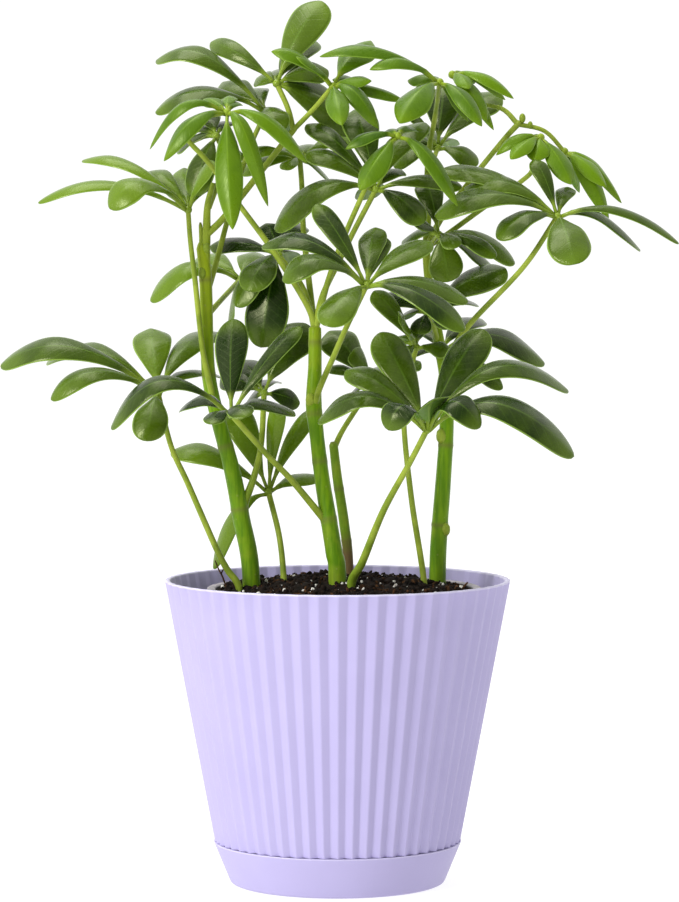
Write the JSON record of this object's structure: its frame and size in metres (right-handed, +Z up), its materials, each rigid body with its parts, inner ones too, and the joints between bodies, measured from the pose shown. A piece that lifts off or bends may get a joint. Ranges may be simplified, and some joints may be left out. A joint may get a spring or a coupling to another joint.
{
  "type": "potted umbrella plant",
  "caption": "Potted umbrella plant: upright green stems with whorled leaflets, in soil in a ribbed plastic pot with an attached saucer.",
  "frame": {"origin": "centre of the saucer's flat underside, on the axis of the pot", "axes": "+Z up from the floor through the pot, -Y towards the front view, +X to the right in the front view"},
  "size_m": [0.2995, 0.1673, 0.394],
  "materials": {
    "lavender_plastic": "smooth matte moulded polypropylene",
    "dark_plastic": "thin matte moulded grower's pot",
    "potting_soil": "rough crumbly potting mix",
    "green_stem": "smooth green bark with a soft sheen",
    "mature_leaf": "leathery with a waxy sheen",
    "young_leaf": "tender with a waxy sheen"
  },
  "bodies": {
    "root": {"saucer": "lavender_plastic", "pot": "lavender_plastic", "nursery_pot": "dark_plastic", "soil": "potting_soil", "stem_left": "green_stem", "stem_middle": "green_stem", "stem_right": "green_stem", "stem_back": "green_stem", "leaf_stalk_far_left": "green_stem", "leaf_stalk_low_inner_left": "green_stem", "leaf_stalk_front_right": "green_stem", "leaf_stalk_low_right_inner": "green_stem", "leaf_far_left": "mature_leaf", "leaf_front_left": "mature_leaf", "leaf_low_inner_left": "mature_leaf", "leaf_left_middle": "mature_leaf", "leaf_young_left": "young_leaf", "leaf_top_left": "mature_leaf", "leaf_top": "mature_leaf", "leaf_young_top": "young_leaf", "leaf_young_top_right": "young_leaf", "leaf_young_right_shoulder": "young_leaf", "leaf_young_right": "young_leaf", "leaf_young_far_right": "young_leaf", "leaf_far_right": "mature_leaf", "leaf_front_middle": "mature_leaf", "leaf_front_right": "mature_leaf", "leaf_right_low": "mature_leaf", "leaf_right_middle": "mature_leaf", "leaf_right_inner": "mature_leaf", "leaf_middle": "mature_leaf", "leaf_young_middle": "young_leaf", "leaf_top_right_inner": "mature_leaf", "leaf_inner_left": "mature_leaf", "leaf_left_back": "mature_leaf", "leaf_middle_left": "mature_leaf", "leaf_left_inner": "mature_leaf", "leaf_low_right_inner": "mature_leaf", "leaf_low_middle_back": "mature_leaf", "leaf_low_left_back": "mature_leaf"}
  },
  "joints": []
}
